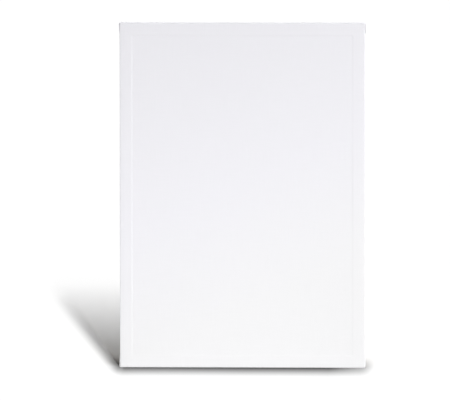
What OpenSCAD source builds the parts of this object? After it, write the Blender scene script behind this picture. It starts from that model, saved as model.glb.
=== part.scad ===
// Blank stretched canvas: primed cotton over a keyed pine stretcher frame.
// Millimetres. X is the width, Z is up, and the painting side faces -Y.
// The origin is the middle of the bottom edge, at half the depth.

/* [Cloth] */
// Width over the cloth
canvas_w = 420; // [300:1:600]
// Height over the cloth
canvas_h = 594; // [400:1:900]
// Thickness of the primed cloth
cloth_t = 0.6; // [0.4:0.1:0.8]
// Width of the cloth turned over on the back
margin_w = 14; // [13:0.5:14]
// Outer radius of the cloth round the front edges
edge_r = 2; // [1.6:0.1:2.4]
// Outer radius of the cloth at the corners, seen from the front
corner_r = 1.6; // [1.4:0.1:1.6]
// Extra layers of cloth in a corner's folded ear
fold_layers = 2; // [1:1:2]
// Further layers where the top or bottom margin lies over an ear
strip_layers = 2; // [1:1:2]

/* [Stretcher bars] */
// Width of a bar, seen from the front
bar_w = 20; // [20:1:30]
// Depth of a bar, front to back
bar_d = 17; // [17:0.5:20]
// Width of the raised lip that carries the cloth
lip_w = 4; // [3:0.5:6]
// How far the front face falls away from the lip to the inner edge
bevel_drop = 1; // [0.5:0.1:1.5]
// Radius of the outer front edge
lip_r = 2; // [1:0.1:2.5]
// Chamfer on the other long edges
ease = 0.5; // [0.2:0.1:0.8]

/* [Corner joints] */
// Thickness of a tongue's layer, and of the slot that takes it
layer_t = 4; // [3.6:0.1:4.2]
// Clearance on each face of a tongue
tongue_gap = 0.1; // [0.05:0.05:0.2]
// Gap that a mitre leaves on each bar
mitre_gap = 0.1; // [0.05:0.05:0.3]
// How far a tongue stops short of the other bar's outer edge
tip_gap = 0.3; // [0.2:0.1:1]

/* [Keys] */
// Length of a wedge key
key_len = 30; // [24:1:36]
// Width of a key's tip
key_tip_w = 2.2; // [1.8:0.1:3]
// How much wider a key grows for each millimetre of its length
key_slope = 0.2; // [0.15:0.01:0.25]
// Thickness of a key
key_t = 3.6; // [3:0.1:3.6]
// Distance of a key's tip from the frame's outer edge
key_seat = 6.5; // [6:0.5:8]
// Clearance on each edge of a key
key_gap = 0.05; // [0.03:0.01:0.1]
// Chamfer on the corners of a key
key_ease = 0.6; // [0.3:0.1:0.9]

/* [Keying out] */
// How far each bar moves outwards when the keys are driven home
spread = 0.6; // [0.2:0.1:0.6]
// Slack between a bar's outer edge and the cloth before keying
slack = 0.7; // [0.7:0.1:1]
// Gap between the cloth and the front and back of the bars
face_gap = 0.15; // [0.1:0.05:0.3]

/* [Staples] */
// Width of a staple's crown
crown_w = 10; // [8:0.5:10]
// Length of a staple's legs, crown included
leg_len = 6; // [5:0.5:6]
// Thickness of the staple wire
wire_t = 0.6; // [0.5:0.1:0.7]
// Width of the staple wire
wire_w = 1.2; // [0.8:0.1:1.3]
// Staples along the top and along the bottom
short_staples = 6; // [3:1:8]
// Staples along each side
long_staples = 9; // [4:1:12]
// Distance of a row of staples from the bar's outer edge
row_v = 7; // [6:0.5:8]
// Distance of the first and last staple in a row from the bar's ends
row_start = 45; // [42:1:60]
// Distance of the outer staple in a corner fold from the bar's outer edge
fold_v = 5.5; // [5:0.5:6]
// How far the inner staple in a fold lies along the bar from the outer one
fold_step_u = 3; // [2:0.5:3]
// How far the inner staple in a fold lies across the bar from the outer one
fold_step_v = 5; // [4.5:0.5:5]

/* [Hidden] */

// Cuts run this far past the faces that they open
over = 1;
// Straight steps in a quarter of a rounded edge
arc_steps = 6;
// Clearance round a staple's leg in the cloth
leg_gap = 0.1;
// Gap between a staple's crown and the cloth under it
crown_gap = 0.05;

// Frame sizes over the bars
frame_w = canvas_w - 2 * (cloth_t + slack);
frame_h = canvas_h - 2 * (cloth_t + slack);

// Depths, measured backwards from the front of the bars
margin_inner = bar_d + face_gap;
margin_outer = margin_inner + cloth_t;
fold_t = fold_layers * cloth_t;
fold_outer = margin_outer + fold_t;
strip_outer = fold_outer + strip_layers * cloth_t;
cloth_front = -face_gap - cloth_t;
total_d = max(strip_outer, fold_outer + crown_gap + wire_t) - cloth_front;
cloth_d = margin_outer - cloth_front;

// Place of the bars' front along Y, which centres the whole depth on the origin
frame_y = -total_d / 2 - cloth_front;

// The two middle layers of a bar, which hold the tongues and the slots
front_layer = (bar_d - 2 * layer_t) / 2;
back_layer = front_layer + layer_t;

// Blind end of a key's pocket, which leaves room past the key's whole travel
key_travel = spread / key_slope;
pocket_room = 0.5;
pocket_end = key_seat - key_travel - pocket_room;

// The bars run clockwise round the front: top, right, bottom, left
TOP = 0;
RIGHT = 1;
BOTTOM = 2;
LEFT = 3;

pine = "burlywood";
beech = "wheat";
steel = "silver";
primed = "white";

function bar_length(bar) = bar % 2 == 0 ? frame_w : frame_h;
function bar_reach(bar) = (bar % 2 == 0 ? frame_h : frame_w) / 2;
function arc(x, y, r, from) =
    [for (i = [0 : arc_steps]) let (a = from + 90 * i / arc_steps) [x + r * cos(a), y + r * sin(a)]];

// Width of a key at a distance from the frame's outer edge
function key_width(v) = key_tip_w + (v - key_seat) * key_slope;

// Places of the staples in a bar's row, along the bar
function row_places(bar) =
    let (count = bar % 2 == 0 ? short_staples : long_staples)
    let (step = (bar_length(bar) - 2 * row_start) / (count - 1))
    [for (i = [0 : count - 1]) row_start + i * step];

// Places of the two staples in a corner fold, along and across the side bar, just past the strip
strip_end = margin_w - slack - cloth_t;
strip_gap = 0.3;
fold_u = strip_end + strip_gap + crown_w / 2;
fold_places = [[fold_u, fold_v], [fold_u + fold_step_u, fold_v + fold_step_v]];

// Moves a piece from a bar's own frame to its place. In a bar's frame the first axis runs along
// the bar, the second from its outer to its inner edge, and the third from its front to its back.
module place_bar(bar) {
    translate([0, frame_y, canvas_h / 2])
        rotate([0, 90 * bar, 0])
            translate([-bar_length(bar) / 2, 0, bar_reach(bar)])
                rotate([-90, 0, 0])
                    children();
}

// Turns a piece made for a bar's first end round to its other end
module other_end(bar) {
    translate([bar_length(bar), 0, 0]) mirror([1, 0, 0]) children();
}

// An outline along and across a bar, raised between two depths
module layer(from, to, points) {
    translate([0, 0, from]) linear_extrude(to - from) polygon(points);
}

// Section of a bar across its length
module bar_section() {
    polygon(concat(
        arc(lip_r, lip_r, lip_r, 180),
        [
            [lip_w, 0],
            [bar_w - ease, bevel_drop],
            [bar_w, bevel_drop + ease],
            [bar_w, bar_d - ease],
            [bar_w - ease, bar_d],
            [ease, bar_d],
            [0, bar_d - ease]
        ]
    ));
}

// What is cut from a bar's end: the mitred cheeks beside its tongue, and the slot with its pocket
module end_cut(tongue_layer, slot_layer) {
    past_inner = bar_w + over;
    mitre = [
        [-over, -over],
        [mitre_gap - over, -over],
        [past_inner + mitre_gap, past_inner],
        [-over, past_inner]
    ];
    slot_end = bar_w + 2 * key_gap;
    slot = [
        [-over, -over],
        [slot_end, -over],
        [slot_end, pocket_end],
        [slot_end + key_width(pocket_end), pocket_end],
        [slot_end + key_width(past_inner), past_inner],
        [-over, past_inner]
    ];
    tip = [[-over, -over], [tip_gap, -over], [tip_gap, past_inner], [-over, past_inner]];
    layer(-over, tongue_layer + tongue_gap, mitre);
    layer(tongue_layer + layer_t - tongue_gap, bar_d + over, mitre);
    layer(slot_layer, slot_layer + layer_t, slot);
    layer(-over, bar_d + over, tip);
}

// A whole bar in its own frame
module bar_shape(bar) {
    difference() {
        rotate([90, 0, 90]) linear_extrude(bar_length(bar)) bar_section();
        end_cut(front_layer, back_layer);
        other_end(bar) end_cut(back_layer, front_layer);
    }
}

// A wedge key against the inner edge of the bar that it lies along, at the bar's first end
module key_shape(key_layer) {
    straight = bar_w + key_gap;
    head = key_seat + key_len;
    tip_far = straight + key_tip_w;
    head_far = straight + key_width(head);
    bottom = key_layer + (layer_t - key_t) / 2;
    layer(bottom, bottom + key_t, [
        [key_seat, straight + key_ease],
        [key_seat + key_ease, straight],
        [head - key_ease, straight],
        [head, straight + key_ease],
        [head, head_far - key_ease],
        [head - key_ease, head_far - key_ease * key_slope],
        [key_seat + key_ease, tip_far + key_ease * key_slope],
        [key_seat, tip_far - key_ease]
    ]);
}

// One staple: a flat crown and two pointed legs, with the crown's underside at a given depth
module staple(u, v, under) {
    half = crown_w / 2;
    crown = under + crown_gap + wire_t;
    point = crown - leg_len;
    shoulder = point + wire_t;
    translate([u, v + wire_w / 2, 0])
        rotate([90, 0, 0])
            linear_extrude(wire_w)
                polygon([
                    [-half, crown],
                    [-half, point],
                    [wire_t - half, shoulder],
                    [wire_t - half, crown - wire_t],
                    [half - wire_t, crown - wire_t],
                    [half - wire_t, shoulder],
                    [half, point],
                    [half, crown]
                ]);
}

// The slits that a staple's legs make in the cloth, long enough for the bar's travel
module leg_slits(u, v, cloth_back) {
    slit = [
        wire_t + 2 * leg_gap,
        wire_w + 2 * leg_gap + spread,
        cloth_back - margin_inner + 2 * over
    ];
    for (side = [-1, 1]) {
        middle = u + side * (crown_w - wire_t) / 2;
        translate([middle - slit.x / 2, v - wire_w / 2 - leg_gap - spread, margin_inner - over])
            cube(slit);
    }
}

// A rounded block that fills the cloth's outline, drawn in by a distance on every face
module cloth_block(inset) {
    w = canvas_w - 2 * inset;
    h = canvas_h - 2 * inset;
    r = edge_r - inset;
    d = cloth_d - 2 * inset;
    translate([0, frame_y + cloth_front + inset, canvas_h / 2])
        intersection() {
            translate([0, 0, -h / 2]) linear_extrude(h) front_rounded(w, d, r);
            translate([-w / 2, 0, 0])
                rotate([90, 0, 90]) linear_extrude(w) mirror([1, -1]) front_rounded(h, d, r);
            rotate([-90, 0, 0]) linear_extrude(d) rounded_outline(w, h, corner_r - inset);
        }
}

// A rectangle from y = 0 to y = d whose two front corners are round
module front_rounded(w, d, r) {
    polygon(concat(
        arc(r - w / 2, r, r, 180),
        arc(w / 2 - r, r, r, 270),
        [[w / 2, d], [-w / 2, d]]
    ));
}

// A centred rectangle with four round corners
module rounded_outline(w, h, r) {
    x = w / 2 - r;
    y = h / 2 - r;
    polygon(concat(arc(x, y, r, 0), arc(-x, y, r, 90), arc(-x, -y, r, 180), arc(x, -y, r, 270)));
}

// The cloth folded round the first end of a side bar: the ear on the bar's outer edge, its end
// turned over the back, and the strip over that
module corner_fold() {
    outer = -slack - cloth_t;
    side = outer - fold_t;
    turn = outer + cloth_d;
    front = cloth_front + edge_r;
    r = corner_r + fold_t;
    corner = arc(outer + r, side + r, r, 180);
    // The ear on the side, a triangle from the front corner to the back
    intersection() {
        translate([0, side, 0])
            rotate([-90, 0, 0])
                linear_extrude(r)
                    polygon([
                        [outer, -front],
                        [outer, -fold_outer],
                        [turn, -fold_outer],
                        [turn, -margin_outer],
                        [outer + edge_r, -front]
                    ]);
        layer(cloth_front, fold_outer, concat(corner, [[turn, side], [turn, side + r]]));
    }
    // The doubled cloth on the back, whose edge carries on at 45 degrees
    layer(margin_inner, fold_outer, concat(corner, [
        [turn, side],
        [turn, outer],
        [turn + margin_w, strip_end],
        [outer, strip_end]
    ]));
    // The end of the top or bottom margin, which lies over the ear
    layer(margin_inner, strip_outer, concat(corner, [
        [strip_end, side],
        [strip_end, strip_end],
        [outer, strip_end]
    ]));
}

module top_bar() { color(pine) place_bar(TOP) bar_shape(TOP); }
module right_bar() { color(pine) place_bar(RIGHT) bar_shape(RIGHT); }
module bottom_bar() { color(pine) place_bar(BOTTOM) bar_shape(BOTTOM); }
module left_bar() { color(pine) place_bar(LEFT) bar_shape(LEFT); }

// The key at the first end of a bar, and the key at its other end
module first_key(bar) { color(beech) place_bar(bar) key_shape(front_layer); }
module last_key(bar) { color(beech) place_bar(bar) other_end(bar) key_shape(back_layer); }

module top_left_key_across() { first_key(TOP); }
module top_right_key_across() { last_key(TOP); }
module bottom_right_key_across() { first_key(BOTTOM); }
module bottom_left_key_across() { last_key(BOTTOM); }
module top_right_key_up() { first_key(RIGHT); }
module bottom_right_key_down() { last_key(RIGHT); }
module bottom_left_key_down() { first_key(LEFT); }
module top_left_key_up() { last_key(LEFT); }

// The primed sheet: front, four sides, back margins and folded corners in one piece of cloth
module canvas() {
    window = [canvas_w - 2 * margin_w, cloth_t + 2 * over, canvas_h - 2 * margin_w];
    color(primed)
        difference() {
            union() {
                cloth_block(0);
                for (bar = [RIGHT, LEFT]) {
                    place_bar(bar) corner_fold();
                    place_bar(bar) other_end(bar) corner_fold();
                }
            }
            cloth_block(cloth_t);
            translate([-window.x / 2, frame_y + margin_inner - over, (canvas_h - window.z) / 2])
                cube(window);
            for (bar = [TOP : LEFT])
                for (u = row_places(bar))
                    place_bar(bar) leg_slits(u, row_v, margin_outer);
            for (bar = [RIGHT, LEFT])
                for (p = fold_places) {
                    place_bar(bar) leg_slits(p.x, p.y, fold_outer);
                    place_bar(bar) other_end(bar) leg_slits(p.x, p.y, fold_outer);
                }
        }
}

// The row of staples in one bar's margin
module staple_row(bar) {
    color(steel)
        place_bar(bar)
            for (u = row_places(bar)) staple(u, row_v, margin_outer);
}

// The staples in the fold at a side bar's first end
module fold_pair() {
    for (p = fold_places) staple(p.x, p.y, fold_outer);
}

module top_staples() { staple_row(TOP); }
module right_staples() { staple_row(RIGHT); }
module bottom_staples() { staple_row(BOTTOM); }
module left_staples() { staple_row(LEFT); }

module top_left_fold_staples() { color(steel) place_bar(LEFT) other_end(LEFT) fold_pair(); }
module top_right_fold_staples() { color(steel) place_bar(RIGHT) fold_pair(); }
module bottom_right_fold_staples() { color(steel) place_bar(RIGHT) other_end(RIGHT) fold_pair(); }
module bottom_left_fold_staples() { color(steel) place_bar(LEFT) fold_pair(); }

top_bar();
right_bar();
bottom_bar();
left_bar();
top_left_key_across();
top_right_key_across();
bottom_right_key_across();
bottom_left_key_across();
top_left_key_up();
top_right_key_up();
bottom_right_key_down();
bottom_left_key_down();
canvas();
top_staples();
right_staples();
bottom_staples();
left_staples();
top_left_fold_staples();
top_right_fold_staples();
bottom_right_fold_staples();
bottom_left_fold_staples();
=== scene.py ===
"""A blank primed canvas on a keyed pine stretcher frame, dressed, lit and seen as in its picture."""

import math

import bpy
import numpy as np
from mathutils import Euler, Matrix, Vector


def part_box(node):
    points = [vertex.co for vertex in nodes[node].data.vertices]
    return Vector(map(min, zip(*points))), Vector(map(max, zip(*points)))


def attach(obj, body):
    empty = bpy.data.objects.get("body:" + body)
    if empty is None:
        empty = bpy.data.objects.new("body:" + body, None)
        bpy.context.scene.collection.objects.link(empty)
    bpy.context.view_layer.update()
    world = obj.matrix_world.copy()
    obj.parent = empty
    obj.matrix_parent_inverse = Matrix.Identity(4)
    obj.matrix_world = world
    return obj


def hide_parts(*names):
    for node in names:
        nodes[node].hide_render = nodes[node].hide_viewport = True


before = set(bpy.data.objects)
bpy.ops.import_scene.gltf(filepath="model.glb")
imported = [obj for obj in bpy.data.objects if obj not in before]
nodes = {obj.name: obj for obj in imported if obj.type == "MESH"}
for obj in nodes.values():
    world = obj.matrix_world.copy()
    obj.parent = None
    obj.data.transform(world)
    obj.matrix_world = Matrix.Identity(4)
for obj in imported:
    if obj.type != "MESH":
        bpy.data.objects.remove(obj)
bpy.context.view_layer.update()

# The cloth, in metres: the room that a layer takes in a fold, its own thickness, its gap to the bars,
# its margin on the back, the turns of a corner's fold, and how round its front and back edges are
LAYER = 0.0006
THICK = 0.0005
FACE_GAP = 0.00015
MARGIN = 0.014
EAR_LAYERS = 2
FRONT_RADIUS = 0.0012
BACK_RADIUS = 0.001

# At the front a corner's fold starts with this share of its height, and past the fold the top and
# bottom margins come down to the bar over this distance
EAR_START = 0.3
STRIP_SLOPE = 0.008

# The grid of the cloth's mesh: its steps at the folds, over the bars and over the window between
# them, and how far in from the front's edge the first two reach
STEP = 0.0005
BORDER_STEP = 0.00075
WINDOW_STEP = 0.003
FOLD_REACH = 0.004
BORDER_REACH = 0.030

# The front sinks a little inside the bars, from a line just past their inner edges, and waves there
# along two slanting directions
WINDOW_RECESS = 0.00033
WINDOW_SLOPE = 0.0030
WINDOW_PAST_BAR = 0.0004
FRONT_WAVE = 0.00004
WAVE_SLANTS = (0.4, -0.3)

# The front rolls back towards its edges, where the primer is darker, with wear and painted shade, and
# its sides run in and out
EDGE_ROLL = 0.00015
EDGE_ROLL_WIDTH = 0.009
WEAR_AND_SHADE_WIDTH = 0.003
EDGE_WAVE = 0.00012
EDGE_WAVE_WIDTH = 0.01

# A short crease runs slanting up from each fold: its depth, distance from the side, slant and width,
# the softness of its start, where it fades, and its share of that depth at the top corners
CORNER_PULL = 0.00012
PULL_FROM_SIDE = 0.0115
PULL_SLANT = 0.4
PULL_WIDTH = 0.0018
PULL_START = 0.001
PULL_FADE = (0.006, 0.014)
PULL_AT_TOP = 0.5

# The margins' cut edges wave, and between the staples the margins stand off the bars: how far from
# the back's edge that starts, and how far from the corners it fades in
CUT_WAVE = 0.0005
MARGIN_LIFT = 0.0004
LIFT_START = 0.004
LIFT_ENDS = (0.03, 0.05)

# The margins are puffed too: how far from the back's edge that rises, and from the corners it fades
# in. A staple presses them down over a width, and along its row up to values of between_staples.
MARGIN_PUFF = 0.00025
PUFF_RISE = (0.001, 0.004)
PUFF_ENDS = (0.02, 0.04)
PRESS_WIDTH = 0.003
PRESS_UP = (0.02, 0.25)
PRESS_ACROSS = (0.02, 0.12)

# Staples in each margin's row, the width of a staple's crown, and its distance from the back's edge
STAPLES_ACROSS = 6
STAPLES_UP = 9
CROWN = 0.010
STAPLE_LINE = 0.007

# Uneven lines: a seed, and the longest wave in metres
SIDE_CUT_LINE = (1, 0.09)
TOP_CUT_LINE = (2, 0.08)
FRONT_LINES = ((3, 0.21), (4, 0.26))
SIDE_LINE = (5, 0.30)

# The loose threads: width and lengths in metres, the number on each edge, how far they stay from the
# corners, the spread of their places, bearings and bends, and how soon they drop on to the bar
THREAD_SEED = 6
THREAD = 0.00028
THREAD_LENGTH = (0.0012, 0.0048)
THREADS_UP = 26
THREADS_ACROSS = 18
THREAD_CLEAR = 0.045
THREAD_SCATTER = 0.4
THREAD_BEARING = 0.6
THREAD_BEND = 0.8
THREAD_DROP = 1.6
THREAD_POINTS = 5

# The weave: its pitch in metres, how slowly its threads drift, how sharp a thread's shape is under
# and over the others, and the slubs in a metre along the warp and the weft
PITCH = 0.0007
WEAVE_DRIFT = 0.25
THREAD_SHAPES = (0.35, 0.95)
WARP_SLUBS = 22.0
WEFT_SLUBS = 26.0

# The primer's tint under a cool light that is painted into its colour at the top, and its plain
# tint, and where that painted light fades, on a line that slants to the right
PAINTED_COOL_LIGHT_PRIMER = (0.876, 0.870, 0.908)
PLAIN_PRIMER = (0.877, 0.875, 0.884)
COOL_LIGHT_SLANT = 0.4
COOL_LIGHT_FADE = (-0.02, 0.20)

# Dark and pale tones of the other finishes
YARN = ((0.74, 0.67, 0.55), (0.88, 0.83, 0.73))
RAW = ((0.76, 0.69, 0.56), (0.86, 0.80, 0.68))
SEED_FLECK = (0.33, 0.25, 0.16)
KNOT = ((0.25, 0.12, 0.05), (0.42, 0.235, 0.105))
BEECH = ((0.66, 0.46, 0.29), (0.78, 0.59, 0.40))
BEECH_RAY = (0.50, 0.31, 0.18)
ZINC = ((0.36, 0.37, 0.38), (0.50, 0.51, 0.52))

# Tones of pine over one growth ring, from its pale early wood to its dark late wood and the next ring
PINE = [
    (0.0, (0.76, 0.585, 0.355)),
    (0.45, (0.745, 0.555, 0.315)),
    (0.80, (0.62, 0.405, 0.190)),
    (0.93, (0.56, 0.335, 0.140)),
    (1.0, (0.73, 0.55, 0.325)),
]

# Pine's growth rings: their width, how far they wander and how far they bulge round a knot, in metres
RING = 0.0026
RING_WANDERS = 0.011
KNOT_BULGE = 0.012

# Knots: the places for them in a metre along the grain and across it and, in shares of such a place,
# where the rings bulge, where the knot's own wood fades out, and the number of its rings
KNOTS_ALONG = 7.5
KNOTS_ACROSS = 21.0
KNOT_REACH = (0.05, 0.34)
KNOT_EDGE = (0.07, 0.14)
KNOT_RINGS = 55.0

# Each bar's grain: the axis that it runs along, and where the heart line of its log lies, from the
# bar's own line at half the part's depth
BAR_GRAIN = {
    "top_bar": ("X", (0, 0.034, 0.021)),
    "right_bar": ("Z", (0.026, -0.041, 0)),
    "bottom_bar": ("X", (0, -0.026, 0.043)),
    "left_bar": ("Z", (-0.015, 0.052, 0)),
}

# Nearly all of a noise's values lie in the first range. The second is narrower, for a harder pattern,
# and the third is for the slubs, which are two noises added.
NOISE = (0.3, 0.7)
HARD_NOISE = (0.35, 0.65)
SLUBS = (0.6, 1.4)

# The primer: the scale of its patches in a metre and their shades, its shades over the slubs, the
# patches near the edges where it is darker with wear and painted shade, and how much darker it is there
PATCHES = 22.0
PATCH_SHADES = (0.996, 1.0)
SLUB_SHADES = (0.985, 1.01)
WEAR_AND_SHADE_PATCHES = (0.4, 0.65)
WEAR_AND_PAINTED_SHADE = 0.02

# The raw cloth's painted shade between its threads and its level on them, the scale of its flecks
# across and along, and the values of their noise where a fleck starts and is full
RAW_GAP_PAINTED_SHADE = (0.80, 1.04)
FLECKS = (1000.0, 620.0, 1.0)
FLECK_EDGE = (0.80, 0.88)

# Noises in wood: their factor along the grain, which draws them out where it is low, their scale in a
# metre, their detail and their roughness
PINE_WANDER = (0.16, 42.0, 2.0, 0.5)
PINE_FIBRE = (0.025, 1400.0, 3.0, 0.65)
PINE_BLOTCH = (0.3, 30.0, 2.0, 0.5)
BEECH_STREAK = (0.05, 700.0, 2.0, 0.5)
BEECH_RAYS = (0.12, 4200.0, 0.0, 0.5)
BEECH_CUTS = (3.0, 500.0, 1.0, 0.5)

# Shades of pine over its fibres and blotches, and the values of the noise where a ray of beech starts
# and is full
FIBRE_SHADES = (0.90, 1.06)
BLOTCH_SHADES = (0.94, 1.04)
RAY_EDGE = (0.62, 0.80)

# Scales in a metre of the yarn's fibres, the spots on the zinc and the lines from drawing the wire
YARN_FIBRES = 2500.0
ZINC_SPOTS = 900.0
WIRE_LINES = 5200.0

# Heights of the finishes' fine relief, in metres, and the shares of slubs and of late wood in it
PRIMER_RELIEF = 0.00008
RAW_RELIEF = 0.00018
YARN_RELIEF = 0.00006
PINE_RELIEF = 0.00006
BEECH_RELIEF = 0.00008
WIRE_RELIEF = 0.00001
PRIMED_SLUBS = 0.6
RAW_SLUBS = 0.8
LATE_WOOD = -0.5

# Roughness of the finishes, from one end of their pattern to the other
PRIMER_ROUGHNESS = (0.72, 0.84)
COTTON_ROUGHNESS = 0.9
PINE_ROUGHNESS = (0.70, 0.56)
BEECH_ROUGHNESS = (0.72, 0.60)
WIRE_ROUGHNESS = (0.50, 0.28)

# Edges sharper than this angle are eased by these widths, once points this close are joined
EASED_ANGLE = math.radians(30)
EASED_WOOD = 0.0002
EASED_WIRE = 0.00015
JOINED = 0.000001

# The camera stands far off with a long lens, a little to the right of the canvas and above it
CAMERA_AZIMUTH = math.radians(1.69)
CAMERA_ELEVATION = math.radians(6.5)
CAMERA_ROLL = math.radians(-0.05)
CAMERA_DISTANCE = 30.0
CAMERA_LENS = 1400.1
CAMERA_AIM = Vector((-0.0299, 0.0, 0.2882))

# The floor's light is a tall narrow strip: a row of suns whose shadows end at even lengths, and
# which is weaker at its lower end, where they are longest
STRIP_SUNS = 20
STRIP_AZIMUTH = math.radians(7.98)
STRIP_SHADOWS = (0.02, 1.46)
STRIP_FULL = 1.2
STRIP_TAIL = 0.2
STRIP_ANGLE = math.radians(2.0)
STRIP_LIGHT = 1.25
WORLD_LIGHT = 0.10

# Soft lights on the object alone: azimuth and elevation in degrees, strength and spread in degrees
SOFT_LIGHTS = {
    "front_soft": (9, 30, 0.512, 25),
    "right_soft": (84, 15, 0.52, 30),
    "back_soft": (198, 17, 0.75, 50),
    "left_soft": (262, 25, 0.20, 50),
    "top_soft": (170, 72, 0.10, 40),
}

# Two lights near the object, which light its lower part and its right more: place, size and watts
NEAR_LIGHTS = {
    "low_fill": (Vector((0.0, -0.7, 0.055)), (1.2, 0.1), 1.48),
    "side_fill": (Vector((0.75, -0.6, 0.60)), (0.3, 0.6), 0.69),
}

# The floor: half its length in metres, the grey that lights the object and the grey that is seen
FLOOR_REACH = 40.0
FLOOR_BOUNCE = 0.35
FLOOR_COLOUR = 0.76

# The contact shadow, painted shade in the floor's colour: where it fades at its two ends and before
# and behind the foot. It is narrower and leans along the cast shadow at the left, and is weaker towards
# the right.
CONTACT_LEFT = (-0.228, -0.200)
CONTACT_RIGHT = (0.201, 0.234)
CONTACT_WEAKER = (0.150, 0.205)
CONTACT_WEAK = 0.66
CONTACT_SIDES = (-0.0225, 0.1855)
CONTACT_NARROWS = 0.035

# The cast shadow's left edge starts softly beside the foot, through a painted shadow band in the
# floor's colour that leans along it: where the band rises and falls across its width, starts at the
# foot and ends behind it. Far behind the foot its fall is wider.
BAND_RISE = (-0.2395, -0.2127)
BAND_FALL = (-0.2137, -0.2042)
BAND_WIDENS = 0.035
BAND_START = (-0.125, 0.07)
BAND_END = 1.05
BAND_DARK = 0.74

canvas_low, canvas_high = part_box("canvas")
_, left_bar_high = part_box("left_bar")
top_bar_low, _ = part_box("top_bar")

# The cloth's middle surface is a box: half its width and height, its front and its depth
half_x = canvas_high.x - EAR_LAYERS * LAYER - THICK / 2
half_z = canvas_high.z / 2 - THICK / 2
middle_z = canvas_high.z / 2
front_y = canvas_low.y + THICK / 2
back_y = left_bar_high.y + FACE_GAP + LAYER - THICK / 2
depth = round((back_y - front_y) / STEP) * STEP
reach = depth + MARGIN
window_x = -left_bar_high.x + WINDOW_PAST_BAR
window_z = top_bar_low.z - middle_z + WINDOW_PAST_BAR


def smooth(value, start, end):
    """0 up to start, 1 from end on, and an even curve between them."""
    t = np.clip((value - start) / (end - start), 0, 1)
    return t * t * (3 - 2 * t)


def wobble(places, seed, longest, count=5):
    """A smooth uneven line between about -1 and 1, whose longest wave is given in metres."""
    draw = np.random.default_rng(seed)
    total = np.zeros_like(places)
    for k in range(1, count + 1):
        wave = longest / k * draw.uniform(0.8, 1.2)
        total += np.sin(2 * np.pi * places / wave + draw.uniform(0, 2 * np.pi)) / k
    return total / 2


# The cloth: one flat sheet, folded round the bars and at the corners


def flat_lines(half):
    """Places of the grid's lines across the flat sheet: close at the folds, wide over the window."""
    turned = half + np.arange(1, round(reach / STEP) + 1) * STEP
    rounded = np.arange(0, FOLD_REACH, STEP)
    over_bar = np.arange(FOLD_REACH, BORDER_REACH, BORDER_STEP)
    edge = half - np.concatenate([rounded, over_bar])
    span = half - BORDER_REACH
    window = np.linspace(-span, span, round(span / WINDOW_STEP) + 1)
    outer = np.concatenate([turned, edge])
    return np.sort(np.concatenate([-outer, window, outer]))


def crease(distance):
    """0 on one side of a crease, 1 on the other, and a half on it."""
    return np.clip(0.5 + distance / (2 * STEP), 0, 1)


def fold_turns(past_x, past_z):
    """Turns of the corner's fold under a point this far past the side's edge and the top's."""
    return crease(past_z) * (1 + crease(past_z - past_x))


def side_layers(past_x, past_z):
    """Layers of cloth under the same point where it lies on the side."""
    ear = fold_turns(past_x, past_z) * smooth(past_x, -FRONT_RADIUS, FRONT_RADIUS / 2)
    rise = smooth(np.maximum(past_x, past_z), STEP, 2 * FRONT_RADIUS)
    return ear * (EAR_START + (1 - EAR_START) * rise)


def back_layers(past_x, past_z):
    """Layers of cloth under the same point where it lies on the back."""
    past_ear = past_z - depth - EAR_LAYERS * LAYER
    over_ear = crease(past_z) * (crease(past_ear - past_x) + crease(-past_x))
    strip = fold_turns(past_x, past_z) + over_ear
    return strip * (1 - smooth(-past_x, MARGIN, MARGIN + STRIP_SLOPE))


def fold_places(past_x, past_z, to_back):
    """Where the same point lies: in from the side, back from the front and down from the top."""
    past_back = np.maximum(past_z - to_back, 0)
    inward = np.where(past_x <= 0, -past_x, np.maximum(past_x - to_back, 0))
    backward = np.clip(np.maximum(past_x, past_z), 0, to_back)
    downward = np.where(past_z <= 0, -past_z, past_back)
    folded = (past_x > 0) & (past_z > 0)
    first_turn = folded & (past_x >= past_z)
    second_turn = folded & (past_z > past_x)
    downward = np.where(first_turn, past_z, downward)
    downward = np.where(second_turn, np.maximum(past_back, past_x), downward)
    inward = np.where(second_turn, np.minimum(past_back, past_x), inward)
    return inward, backward, downward


def rounded_box(points, to_back, side_lift, back_lift):
    """Points of sharp boxes, moved to the same boxes with round edges and lifted off them."""
    share = smooth(points[:, 1] - front_y, depth / 3, 2 * depth / 3)
    radius = (FRONT_RADIUS + (BACK_RADIUS - FRONT_RADIUS) * share)[:, None]
    low = np.array([-half_x, front_y, middle_z - half_z])
    high = np.tile([half_x, front_y, middle_z + half_z], (len(points), 1))
    high[:, 1] += to_back
    core = np.clip(points, low + radius, high - radius)
    away = points - core
    away /= np.linalg.norm(away, axis=1)[:, None]
    lift = np.stack([side_lift, back_lift, np.zeros_like(side_lift)], axis=1)
    return core + away * (radius + lift)


def between_staples(places, row_low, row_high, count):
    """0 at each staple of a row and 1 half way between two of them."""
    first = row_low + CROWN / 2
    spacing = (row_high - row_low - CROWN) / (count - 1)
    return 0.5 - 0.5 * np.cos(2 * np.pi * (places - first) / spacing)


def margin_lift(flat_x, flat_z, past_x, past_z):
    """How far the margins on the back stand off the bars, between the staples and round them."""
    side_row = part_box("left_staples")
    top_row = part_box("top_staples")
    side_gap = between_staples(flat_z + middle_z, side_row[0].z, side_row[1].z, STAPLES_UP)
    top_gap = between_staples(flat_x, top_row[0].x, top_row[1].x, STAPLES_ACROSS)
    puff_low, puff_high = PUFF_RISE
    lift = np.zeros_like(flat_x)
    for past, past_end, gap, press_along in (
        (past_x, past_z, side_gap, PRESS_UP),
        (past_z, past_x, top_gap, PRESS_ACROSS),
    ):
        free = smooth(past, depth + LIFT_START, reach) * smooth(-past_end, *LIFT_ENDS)
        puffed = smooth(past, depth + puff_low, depth + puff_high) * smooth(-past_end, *PUFF_ENDS)
        pressed = np.exp(-(((past - depth - STAPLE_LINE) / PRESS_WIDTH) ** 2))
        pressed *= 1 - smooth(gap, *press_along)
        lift += MARGIN_LIFT * free * gap + MARGIN_PUFF * puffed * (1 - pressed)
    return lift


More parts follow.
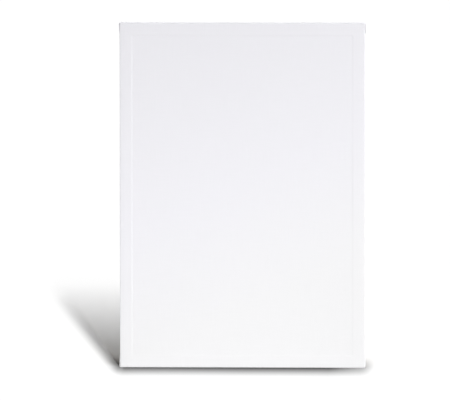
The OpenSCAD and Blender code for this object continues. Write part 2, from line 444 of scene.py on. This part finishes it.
def front_relief(flat_x, flat_z, past_x, past_z):
    """How far the front lies behind a plane: in its window, at its edges and in the corners' creases."""
    inside_x = smooth(window_x - np.abs(flat_x), -WINDOW_SLOPE / 2, WINDOW_SLOPE / 2)
    inside_z = smooth(window_z - np.abs(flat_z), -WINDOW_SLOPE / 2, WINDOW_SLOPE / 2)
    slant_x, slant_z = WAVE_SLANTS
    wave = wobble(flat_x + slant_x * flat_z, *FRONT_LINES[0])
    wave += wobble(flat_z + slant_z * flat_x, *FRONT_LINES[1])
    relief = (WINDOW_RECESS + FRONT_WAVE * wave) * inside_x * inside_z
    past_edge = np.maximum(past_x, past_z)
    relief += EDGE_ROLL * smooth(past_edge, -EDGE_ROLL_WIDTH, 0) * smooth(-past_edge, -depth / 2, 0)
    from_line = -past_x - (PULL_FROM_SIDE + PULL_SLANT * past_z)
    pull = np.exp(-((from_line / PULL_WIDTH) ** 2)) * (1 - smooth(-past_z, *PULL_FADE))
    pull *= smooth(-past_z, -PULL_START, PULL_START) * np.where(flat_z < 0, 1.0, PULL_AT_TOP)
    return relief + CORNER_PULL * pull


def cloth_points(flat_x, flat_z):
    """The folded sheet's points, and how near each lies to the front's edge."""
    past_x = np.abs(flat_x) - half_x
    past_z = np.abs(flat_z) - half_z
    to_back = depth + back_layers(past_x, past_z) * LAYER
    inward, backward, downward = fold_places(past_x, past_z, to_back)
    # The cut edges are uneven, apart from the folds
    side_cut = CUT_WAVE * smooth(past_x, depth, reach) * wobble(flat_z, *SIDE_CUT_LINE)
    top_cut = CUT_WAVE * smooth(past_z, depth, reach) * wobble(flat_x, *TOP_CUT_LINE)
    inward = inward + np.where((past_x > depth) & (past_z <= 0), side_cut, 0)
    downward = downward + np.where((past_z > depth) & (past_x <= 0), top_cut, 0)
    points = np.stack(
        [
            np.sign(flat_x) * (half_x - inward),
            front_y + backward,
            middle_z + np.sign(flat_z) * (half_z - downward),
        ],
        axis=1,
    )
    side_lift = side_layers(past_x, past_z) * LAYER
    back_lift = margin_lift(flat_x, flat_z, past_x, past_z)
    points = rounded_box(points, to_back, side_lift, back_lift)
    points[:, 1] += front_relief(flat_x, flat_z, past_x, past_z)
    # The sides run slightly in and out along their length
    at_side = smooth(np.abs(flat_x), half_x - EDGE_WAVE_WIDTH, half_x)
    points[:, 0] += EDGE_WAVE * wobble(flat_z, *SIDE_LINE) * at_side
    near_edge = np.exp(-((np.maximum(past_x, past_z) / WEAR_AND_SHADE_WIDTH) ** 2))
    return points, near_edge


def cloth_faces(flat_x, flat_z):
    """The grid's faces. A face that a slanting crease runs through is split along it."""
    faces = []
    rows = len(flat_z)
    past_x = np.abs(flat_x) - half_x
    past_z = np.abs(flat_z) - half_z
    depth_steps = round(depth / STEP)
    for i in range(len(flat_x) - 1):
        steps_x = round(min(past_x[i], past_x[i + 1]) / STEP)
        outside_x = max(past_x[i], past_x[i + 1]) > STEP / 2 and steps_x >= 0
        for j in range(rows - 1):
            corner = i * rows + j
            across = corner + rows
            quad = (corner, across, across + 1, corner + 1)
            steps_z = round(min(past_z[j], past_z[j + 1]) / STEP)
            outside_z = max(past_z[j], past_z[j + 1]) > STEP / 2 and steps_z >= 0
            creased = outside_x and outside_z and steps_z - steps_x in (0, depth_steps)
            if not creased:
                faces.append(quad)
            elif flat_x[i] * flat_z[j] > 0:
                faces.append((quad[0], quad[1], quad[2]))
                faces.append((quad[0], quad[2], quad[3]))
            else:
                faces.append((quad[0], quad[1], quad[3]))
                faces.append((quad[1], quad[2], quad[3]))
    return faces


def make_cloth():
    """The whole primed sheet as one mesh, with its flat places as a map for the weave."""
    lines_x = flat_lines(half_x)
    lines_z = flat_lines(half_z)
    flat_x, flat_z = (g.ravel() for g in np.meshgrid(lines_x, lines_z, indexing="ij"))
    points, near_edge = cloth_points(flat_x, flat_z)
    mesh = bpy.data.meshes.new("primed_cloth")
    mesh.from_pydata(points.tolist(), [], cloth_faces(lines_x, lines_z))
    corners = np.zeros(len(mesh.loops), int)
    mesh.loops.foreach_get("vertex_index", corners)
    flat_map = mesh.uv_layers.new(name="flat")
    flat_map.uv.foreach_set("vector", np.stack([flat_x, flat_z], 1)[corners].ravel())
    attribute = mesh.attributes.new("near_edge", "FLOAT", "POINT")
    attribute.data.foreach_set("value", near_edge)
    mesh.shade_smooth()
    cloth = bpy.data.objects.new("primed_cloth", mesh)
    bpy.context.scene.collection.objects.link(cloth)
    body = cloth.modifiers.new("thickness", "SOLIDIFY")
    body.thickness = THICK
    body.offset = 0
    body.material_offset = 1
    body.material_offset_rim = 1
    return cloth


def edge_threads(count, half_length, draw):
    """Places along a cut edge where threads have come loose, with each one's length and bearing."""
    places = np.linspace(-half_length, half_length, count)
    places += draw.uniform(-THREAD_SCATTER, THREAD_SCATTER, count) * (places[1] - places[0])
    return zip(places, draw.uniform(*THREAD_LENGTH, count), draw.normal(0, THREAD_BEARING, count))


def lay_thread(spline, start, side, upright, length, bearing, bend):
    """Runs a thread's points in from a cut edge and down on to the bar."""
    rest_y = left_bar_high.y + THREAD / 2
    spline.points.add(THREAD_POINTS - 1)
    for k, point in enumerate(spline.points):
        share = k / (THREAD_POINTS - 1)
        turn = bearing + bend * share
        inward = -side * length * share * math.cos(turn)
        aside = length * share * math.sin(turn)
        step_x, step_z = (inward, aside) if upright else (aside, inward)
        height = start[1] + (rest_y - start[1]) * min(1.0, THREAD_DROP * share)
        point.co = (start[0] + step_x, height, start[2] + step_z, 1.0)
    spline.use_endpoint_u = True
    spline.order_u = 3


def make_threads():
    """Ends of cotton that hang out of the margins' cut edges and lie on the bars."""
    draw = np.random.default_rng(THREAD_SEED)
    curve = bpy.data.curves.new("loose_threads", "CURVE")
    curve.dimensions = "3D"
    curve.bevel_depth = THREAD / 2
    curve.bevel_resolution = 1
    curve.resolution_u = 3
    curve.use_fill_caps = True
    for side in (-1, 1):
        for upright, count, half_length in (
            (True, THREADS_UP, half_z - THREAD_CLEAR),
            (False, THREADS_ACROSS, half_x - THREAD_CLEAR),
        ):
            edge = side * ((half_x if upright else half_z) + reach - STEP)
            for place, length, bearing in edge_threads(count, half_length, draw):
                flat_x, flat_z = (edge, place) if upright else (place, edge)
                points, _ = cloth_points(np.array([flat_x]), np.array([flat_z]))
                bend = draw.uniform(-THREAD_BEND, THREAD_BEND)
                lay_thread(curve.splines.new("NURBS"), points[0], side, upright, length, bearing, bend)
    threads = bpy.data.objects.new("loose_threads", curve)
    bpy.context.scene.collection.objects.link(threads)
    return threads


# Finishes


class Graph:
    """The shader nodes of a material or of the world, with a short call for each kind in use."""

    def __init__(self, owner):
        owner.use_nodes = True
        self.owner = owner
        self.tree = owner.node_tree
        self.shader = self.tree.nodes.get("Principled BSDF")

    def put(self, socket, value):
        """Links an output to a socket, or sets the socket itself."""
        if isinstance(value, bpy.types.NodeSocket):
            self.tree.links.new(value, socket)
        else:
            socket.default_value = value

    def node(self, kind, inputs=(), **settings):
        """Adds a node, with its settings and what goes into its sockets."""
        made = self.tree.nodes.new("ShaderNode" + kind)
        for name, value in settings.items():
            setattr(made, name, value)
        for key, value in dict(inputs).items():
            self.put(made.inputs[key], value)
        return made

    def math(self, operation, first, second=0.0):
        return self.node("Math", {0: first, 1: second}, operation=operation).outputs[0]

    def vector(self, operation, first, second=(0, 0, 0)):
        made = self.node("VectorMath", {0: first, 1: second}, operation=operation)
        return made.outputs["Value" if operation == "LENGTH" else "Vector"]

    def place(self):
        """Where a point is in the part's own frame, in metres."""
        return self.node("TexCoord").outputs["Object"]

    def flat(self):
        """Where a point is on the flat sheet, in metres."""
        return self.node("UVMap", uv_map="flat").outputs["UV"]

    def attribute(self, name):
        return self.node("Attribute", attribute_name=name).outputs["Fac"]

    def noise(self, vector, scale=1.0, detail=2.0, rough=0.5):
        inputs = {"Vector": vector, "Scale": scale, "Detail": detail, "Roughness": rough}
        return self.node("TexNoise", inputs).outputs["Fac"]

    def cells(self, vector):
        return self.node("TexVoronoi", {"Vector": vector, "Scale": 1.0}).outputs["Distance"]

    def span(self, value, low, high, start=0.0, end=1.0, kind="LINEAR"):
        """Maps low..high to start..end, held at both ends."""
        inputs = {"Value": value, "From Min": low, "From Max": high, "To Min": start, "To Max": end}
        return self.node("MapRange", inputs, interpolation_type=kind).outputs["Result"]

    def ramp(self, value, stops):
        """A colour from a list of positions and colours."""
        made = self.node("ValToRGB", {"Fac": value})
        points = made.color_ramp.elements
        while len(points) < len(stops):
            points.new(1.0)
        for point, (position, colour) in zip(points, stops):
            point.position = position
            point.color = (*colour, 1.0)
        return made.outputs["Color"]

    def mix(self, share, first, second, blend="MIX"):
        inputs = {"Factor": share, 6: colour4(first), 7: colour4(second)}
        return self.node("Mix", inputs, data_type="RGBA", blend_type=blend).outputs[2]

    def shaded(self, colour, level):
        """A colour made darker or paler by a level."""
        parts = {"Red": level, "Green": level, "Blue": level}
        grey = self.node("CombineColor", parts).outputs["Color"]
        return self.mix(1.0, colour, grey, "MULTIPLY")

    def bump(self, height, distance, strength):
        inputs = {"Height": height, "Distance": distance, "Strength": strength}
        self.put(self.shader.inputs["Normal"], self.node("Bump", inputs).outputs["Normal"])

    def finish(self, colour, roughness, **others):
        """Sets the shader's sockets, and gives the material back."""
        self.put(self.shader.inputs["Base Color"], colour)
        self.put(self.shader.inputs["Roughness"], roughness)
        for name, value in others.items():
            self.put(self.shader.inputs[name.replace("_", " ")], value)
        return self.owner


def new_finish(name):
    """The nodes of a new material."""
    return Graph(bpy.data.materials.new(name))


def colour4(value):
    """A colour with its alpha, or an output as it is."""
    return (*value, 1.0) if isinstance(value, tuple) else value


def weave(graph, uneven):
    """Height of a plain weave's threads, and a slower unevenness along the threads."""
    flat = graph.flat()
    drift = graph.node("TexNoise", {"Vector": flat, "Scale": WEAVE_DRIFT / PITCH, "Detail": 1.0})
    centred = graph.vector("SUBTRACT", drift.outputs["Color"], (0.5, 0.5, 0.5))
    moved = graph.vector("ADD", flat, graph.vector("MULTIPLY", centred, (PITCH * uneven,) * 3))
    turns = graph.vector("MULTIPLY", moved, (math.pi / PITCH,) * 3)
    split = graph.node("SeparateXYZ", {"Vector": turns})
    across = graph.math("SINE", split.outputs["X"])
    along = graph.math("SINE", split.outputs["Y"])
    warp_on_top = graph.math("GREATER_THAN", graph.math("MULTIPLY", across, along), 0.0)
    weft_on_top = graph.math("SUBTRACT", 1.0, warp_on_top)
    shapes = []
    for wave, on_top in ((across, weft_on_top), (along, warp_on_top)):
        power = graph.span(on_top, 0.0, 1.0, *THREAD_SHAPES)
        shapes.append(graph.math("POWER", graph.math("ABSOLUTE", wave), power))
    threads = graph.math("MULTIPLY", *shapes)
    warp = graph.noise(graph.vector("MULTIPLY", flat, (1 / PITCH, WARP_SLUBS, 1.0)), detail=1.0)
    weft = graph.noise(graph.vector("MULTIPLY", flat, (WEFT_SLUBS, 1 / PITCH, 1.0)), detail=1.0)
    return threads, graph.math("ADD", warp, weft)


def primed_cotton():
    """Matt white primer over a plain weave, with a cool light painted into its colour towards the top
    left.
    """
    graph = new_finish("primed_cotton")
    threads, slubs = weave(graph, uneven=0.5)
    patches = graph.noise(graph.flat(), PATCHES, detail=3.0)
    # Painted light: the primer takes a cool light's tint towards the top left, on a slanting line
    split = graph.node("SeparateXYZ", {"Vector": graph.flat()})
    slanting = graph.math("MULTIPLY", split.outputs["X"], COOL_LIGHT_SLANT)
    slanting = graph.math("SUBTRACT", slanting, split.outputs["Y"])
    colour = graph.mix(graph.span(slanting, *COOL_LIGHT_FADE), PAINTED_COOL_LIGHT_PRIMER, PLAIN_PRIMER)
    grey = graph.span(patches, *NOISE, *PATCH_SHADES)
    # Near the front's edges the primer is darker in patches: partly wear, partly painted shade
    wear_and_painted_shade = graph.math("MULTIPLY", graph.attribute("near_edge"), graph.span(patches, *WEAR_AND_SHADE_PATCHES))
    grey = graph.math("SUBTRACT", grey, graph.math("MULTIPLY", wear_and_painted_shade, WEAR_AND_PAINTED_SHADE))
    grey = graph.math("MULTIPLY", grey, graph.span(slubs, *SLUBS, *SLUB_SHADES))
    colour = graph.shaded(colour, grey)
    height = graph.math("ADD", threads, graph.math("MULTIPLY", slubs, PRIMED_SLUBS))
    graph.bump(height, PRIMER_RELIEF, strength=0.6)
    roughness = graph.span(patches, *NOISE, *PRIMER_ROUGHNESS)
    return graph.finish(colour, roughness, Specular_IOR_Level=0.35)


def cotton_thread():
    """Loose cream yarn, uneven with its fibres."""
    graph = new_finish("cotton_thread")
    fibre = graph.noise(graph.place(), YARN_FIBRES)
    colour = graph.ramp(fibre, [*zip(NOISE, YARN)])
    graph.bump(fibre, YARN_RELIEF, strength=0.8)
    return graph.finish(colour, COTTON_ROUGHNESS, Sheen_Weight=0.15, Sheen_Roughness=0.6)


def raw_cotton():
    """The unprimed back of the cloth: cream threads with small dark flecks of seed."""
    graph = new_finish("raw_cotton")
    threads, slubs = weave(graph, uneven=0.7)
    colour = graph.ramp(graph.span(slubs, *SLUBS), [*zip((0.0, 1.0), RAW)])
    # Painted shade: the raw cloth is darker between its threads, where shade falls
    colour = graph.shaded(colour, graph.span(threads, 0.0, 1.0, *RAW_GAP_PAINTED_SHADE))
    specks = graph.noise(graph.vector("MULTIPLY", graph.flat(), FLECKS), detail=0.0)
    colour = graph.mix(graph.span(specks, *FLECK_EDGE), colour, SEED_FLECK)
    height = graph.math("ADD", threads, graph.math("MULTIPLY", slubs, RAW_SLUBS))
    graph.bump(height, RAW_RELIEF, strength=0.9)
    return graph.finish(colour, COTTON_ROUGHNESS, Sheen_Weight=0.15, Sheen_Roughness=0.6)


def grain_noise(graph, along, length_factor, scale, detail, rough):
    """A noise that is drawn out along the grain."""
    factors = tuple(length_factor if axis == along else 1.0 for axis in "XYZ")
    return graph.noise(graph.vector("MULTIPLY", graph.place(), factors), scale, detail, rough)


def pine(bar, along, heart):
    """Planed pine: growth rings about a heart line beside the bar, fibres and a few knots."""
    graph = new_finish("pine_" + bar)
    section = tuple(0.0 if axis == along else 1.0 for axis in "XYZ")
    from_heart = graph.vector("MULTIPLY", graph.vector("SUBTRACT", graph.place(), heart), section)
    radius = graph.vector("LENGTH", from_heart)
    slow = grain_noise(graph, along, *PINE_WANDER)
    radius = graph.math("ADD", radius, graph.math("MULTIPLY", slow, RING_WANDERS))
    knot_space = tuple(KNOTS_ALONG if axis == along else KNOTS_ACROSS for axis in "XYZ")
    knot = graph.cells(graph.vector("MULTIPLY", graph.place(), knot_space))
    bulge = graph.span(knot, *KNOT_REACH, KNOT_BULGE, 0.0)
    radius = graph.math("ADD", radius, bulge)
    ring = graph.math("FRACT", graph.math("MULTIPLY", radius, 1 / RING))
    wood = graph.ramp(ring, PINE)
    fibre = grain_noise(graph, along, *PINE_FIBRE)
    tone = graph.span(fibre, *NOISE, *FIBRE_SHADES)
    blotch = graph.span(grain_noise(graph, along, *PINE_BLOTCH), *NOISE, *BLOTCH_SHADES)
    wood = graph.shaded(wood, graph.math("MULTIPLY", tone, blotch))
    knot_ring = graph.math("FRACT", graph.math("MULTIPLY", graph.math("ADD", knot, slow), KNOT_RINGS))
    knot_wood = graph.ramp(knot_ring, [(0.0, KNOT[1]), (1.0, KNOT[0])])
    wood = graph.mix(graph.span(knot, *KNOT_EDGE, 1.0, 0.0), wood, knot_wood)
    height = graph.math("ADD", fibre, graph.math("MULTIPLY", ring, LATE_WOOD))
    graph.bump(height, PINE_RELIEF, strength=0.7)
    roughness = graph.span(fibre, *NOISE, *PINE_ROUGHNESS)
    return graph.finish(wood, roughness, Specular_IOR_Level=0.35)


def beech(name, along):
    """Sawn beech: even pinkish wood with short dark rays along the grain."""
    graph = new_finish("beech_" + name)
    streak = grain_noise(graph, along, *BEECH_STREAK)
    rays = grain_noise(graph, along, *BEECH_RAYS)
    wood = graph.ramp(streak, [*zip(NOISE, BEECH)])
    wood = graph.mix(graph.span(rays, *RAY_EDGE), wood, BEECH_RAY)
    cuts = grain_noise(graph, along, *BEECH_CUTS)
    graph.bump(graph.math("ADD", streak, cuts), BEECH_RELIEF, strength=0.6)
    return graph.finish(wood, graph.span(streak, *NOISE, *BEECH_ROUGHNESS))


def staple_wire():
    """Galvanised wire: bright zinc with dull spots and fine drawing lines."""
    graph = new_finish("staple_wire")
    spots = graph.noise(graph.place(), ZINC_SPOTS, detail=3.0)
    lines = graph.noise(graph.place(), WIRE_LINES, detail=1.0)
    colour = graph.ramp(spots, [*zip(HARD_NOISE, ZINC)])
    graph.bump(lines, WIRE_RELIEF, strength=0.4)
    return graph.finish(colour, graph.span(spots, *HARD_NOISE, *WIRE_ROUGHNESS), Metallic=1.0)


def dress(node, material):
    """Gives a CAD node one material."""
    mesh = nodes[node].data
    mesh.materials.clear()
    mesh.materials.append(material)


def ease_edges(node, width):
    """Takes the razor edge off a rigid piece."""
    weld = nodes[node].modifiers.new("joined_faces", "WELD")
    weld.merge_threshold = JOINED
    bevel = nodes[node].modifiers.new("eased_edges", "BEVEL")
    bevel.width = width
    bevel.segments = 2
    bevel.limit_method = "ANGLE"
    bevel.angle_limit = EASED_ANGLE


# Stage, light and camera


def shows_background(graph):
    """1 for the rays that show the background itself, 0 for those that carry its light."""
    path = graph.node("LightPath")
    seen = graph.math("MAXIMUM", path.outputs["Is Camera Ray"], path.outputs["Is Glossy Ray"])
    return graph.math("MAXIMUM", seen, path.outputs["Is Transmission Ray"])


def painted_contact_shadow(graph, along, across, leaning):
    """How dark the painted contact shadow is at a point of the floor, from 0 to 1."""
    left = graph.span(leaning, *CONTACT_LEFT, 0.0, 1.0, "SMOOTHSTEP")
    right = graph.span(along, *CONTACT_RIGHT, 1.0, 0.0, "SMOOTHSTEP")
    weaker = graph.span(along, *CONTACT_WEAKER, 1.0, CONTACT_WEAK)
    ends = graph.math("MULTIPLY", graph.math("MULTIPLY", left, right), weaker)
    narrower = graph.math("MULTIPLY", graph.math("MINIMUM", along, 0.0), CONTACT_NARROWS)
    from_foot = graph.math("SUBTRACT", graph.math("ABSOLUTE", across), narrower)
    sides = graph.span(from_foot, *CONTACT_SIDES, 1.0, 0.0, "SMOOTHSTEP")
    return graph.math("MULTIPLY", ends, sides)


def painted_shadow_band(graph, across, behind, leaning):
    """How dark the painted shadow band along the cast shadow's left edge is at a point of the floor."""
    fall_start, fall_end = BAND_FALL
    wide_fall = graph.math("ADD", graph.math("MULTIPLY", behind, BAND_WIDENS), fall_start)
    fall_end = graph.math("MAXIMUM", wide_fall, fall_end)
    painted_band = graph.span(behind, 0.0, BAND_END, BAND_DARK, 0.0)
    for place, start, end in (
        (leaning, *BAND_RISE),
        (leaning, fall_end, fall_start),
        (across, *BAND_START),
    ):
        painted_band = graph.math("MULTIPLY", painted_band, graph.span(place, start, end, 0.0, 1.0, "SMOOTHSTEP"))
    return painted_band


def white_floor():
    """Plain white that keeps the object's shadow, with a contact shadow painted close round its foot and
    a painted shadow band along the cast shadow's left edge.
    """
    graph = new_finish("white_floor")
    split = graph.node("SeparateXYZ", {"Vector": graph.place()})
    along = split.outputs["X"]
    across = split.outputs["Y"]
    behind = graph.math("MAXIMUM", across, 0.0)
    lean = graph.math("MULTIPLY", behind, math.tan(STRIP_AZIMUTH))
    leaning = graph.math("ADD", along, lean)
    # Painted shadow: the contact shadow is put into the floor's colour round the foot
    painted_contact = painted_contact_shadow(graph, along, across, leaning)
    level = graph.span(painted_contact, 0.0, 1.0, FLOOR_COLOUR, 0.0)
    # Painted shadow: a band along the cast shadow's left edge darkens the floor's colour
    painted_band = painted_shadow_band(graph, across, behind, leaning)
    level = graph.math("MULTIPLY", level, graph.math("SUBTRACT", 1.0, painted_band))
    seen = graph.node("BsdfDiffuse", {"Color": level}).outputs["BSDF"]
    bounce = graph.node("BsdfDiffuse", {"Color": colour4((FLOOR_BOUNCE,) * 3)}).outputs["BSDF"]
    both = graph.node("MixShader", {0: shows_background(graph), 1: bounce, 2: seen})
    graph.put(graph.tree.nodes["Material Output"].inputs["Surface"], both.outputs[0])
    return graph.owner


def make_floor():
    """The floor that the object stands on."""
    mesh = bpy.data.meshes.new("floor")
    corners = [(-1, -1), (1, -1), (1, 1), (-1, 1)]
    mesh.from_pydata([(x * FLOOR_REACH, y * FLOOR_REACH, 0) for x, y in corners], [], [(0, 1, 2, 3)])
    mesh.materials.append(white_floor())
    floor = bpy.data.objects.new("floor", mesh)
    bpy.context.scene.collection.objects.link(floor)
    return floor


def make_world():
    """A weak even light all round, which shows as white."""
    world = bpy.data.worlds.new("studio")
    bpy.context.scene.world = world
    graph = Graph(world)
    background = graph.tree.nodes["Background"]
    strength = graph.span(shows_background(graph), 0.0, 1.0, WORLD_LIGHT, 1.0)
    graph.put(background.inputs["Color"], (1, 1, 1, 1))
    graph.put(background.inputs["Strength"], strength)


def direction(azimuth, elevation):
    """A unit vector towards the given bearing, where azimuth 0 is straight in front."""
    level = math.cos(elevation)
    return Vector((math.sin(azimuth) * level, -math.cos(azimuth) * level, math.sin(elevation)))


def add_light(name, kind, towards, receivers, place=(0, 0, 0), **settings):
    """A lamp whose light comes from a direction and falls on some objects alone."""
    light = bpy.data.lights.new(name, kind)
    for key, value in settings.items():
        setattr(light, key, value)
    lamp = bpy.data.objects.new(name, light)
    lamp.location = place
    lamp.rotation_mode = "QUATERNION"
    lamp.rotation_quaternion = towards.to_track_quat("Z", "Y")
    lamp.visible_camera = False
    lamp.light_linking.receiver_collection = receivers
    bpy.context.scene.collection.objects.link(lamp)


def lit_group(name, members):
    """A collection of what some lamps light."""
    group = bpy.data.collections.new(name)
    for member in members:
        group.objects.link(member)
    return group


def make_lights(floor, pieces):
    """The strip, which throws the object's shadow on the floor, and the object's soft lights."""
    lit = lit_group("lit_floor", [floor])
    lengths = np.linspace(*STRIP_SHADOWS, STRIP_SUNS)
    shares = np.where(lengths < STRIP_FULL, 1.0, STRIP_TAIL)
    shares /= shares.sum()
    for k, (length, share) in enumerate(zip(lengths, shares)):
        elevation = math.atan(canvas_high.z / length)
        energy = math.pi * STRIP_LIGHT * share / math.sin(elevation)
        towards = direction(STRIP_AZIMUTH, elevation)
        add_light(f"strip_{k}", "SUN", towards, lit, energy=energy, angle=STRIP_ANGLE)
    lit = lit_group("lit_pieces", pieces)
    for name, (azimuth, elevation, strength, spread) in SOFT_LIGHTS.items():
        towards = direction(math.radians(azimuth), math.radians(elevation))
        energy = math.pi * strength
        add_light(name, "SUN", towards, lit, energy=energy, angle=math.radians(spread))
    for name, (place, (width, height), power) in NEAR_LIGHTS.items():
        towards = place - Vector((0, 0, middle_z))
        settings = {"energy": power, "shape": "RECTANGLE", "size": width, "size_y": height}
        add_light(name, "AREA", towards, lit, place, **settings)


def make_camera():
    """The camera, which sees the object as its picture does."""
    data = bpy.data.cameras.new("camera")
    data.lens = CAMERA_LENS
    data.clip_end = 2 * CAMERA_DISTANCE
    camera = bpy.data.objects.new("camera", data)
    away = direction(CAMERA_AZIMUTH, CAMERA_ELEVATION)
    camera.location = CAMERA_AIM + CAMERA_DISTANCE * away
    level = away.to_track_quat("Z", "Y")
    camera.rotation_mode = "QUATERNION"
    camera.rotation_quaternion = level @ Euler((0, 0, CAMERA_ROLL)).to_quaternion()
    bpy.context.scene.collection.objects.link(camera)
    bpy.context.scene.camera = camera


bpy.context.scene.view_settings.view_transform = "Standard"
make_camera()
make_world()
floor = make_floor()

cloth = make_cloth()
threads = make_threads()
make_lights(floor, [cloth, threads, *nodes.values()])
cloth.data.materials.append(primed_cotton())
cloth.data.materials.append(raw_cotton())
threads.data.materials.append(cotton_thread())
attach(threads, "canvas")
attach(cloth, "canvas")
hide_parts("canvas")

for bar, (along, from_bar) in BAR_GRAIN.items():
    bar_low, bar_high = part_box(bar)
    middle = (bar_low + bar_high) / 2
    heart = Vector((middle.x, 0, middle.z)) + Vector(from_bar)
    dress(bar, pine(bar, along, tuple(heart)))
    ease_edges(bar, EASED_WOOD)
for node in nodes:
    if "_key_" in node:
        dress(node, beech(node, "X" if node.endswith("across") else "Z"))
        ease_edges(node, EASED_WOOD)
    elif node.endswith("staples"):
        dress(node, staple_wire())
        ease_edges(node, EASED_WIRE)
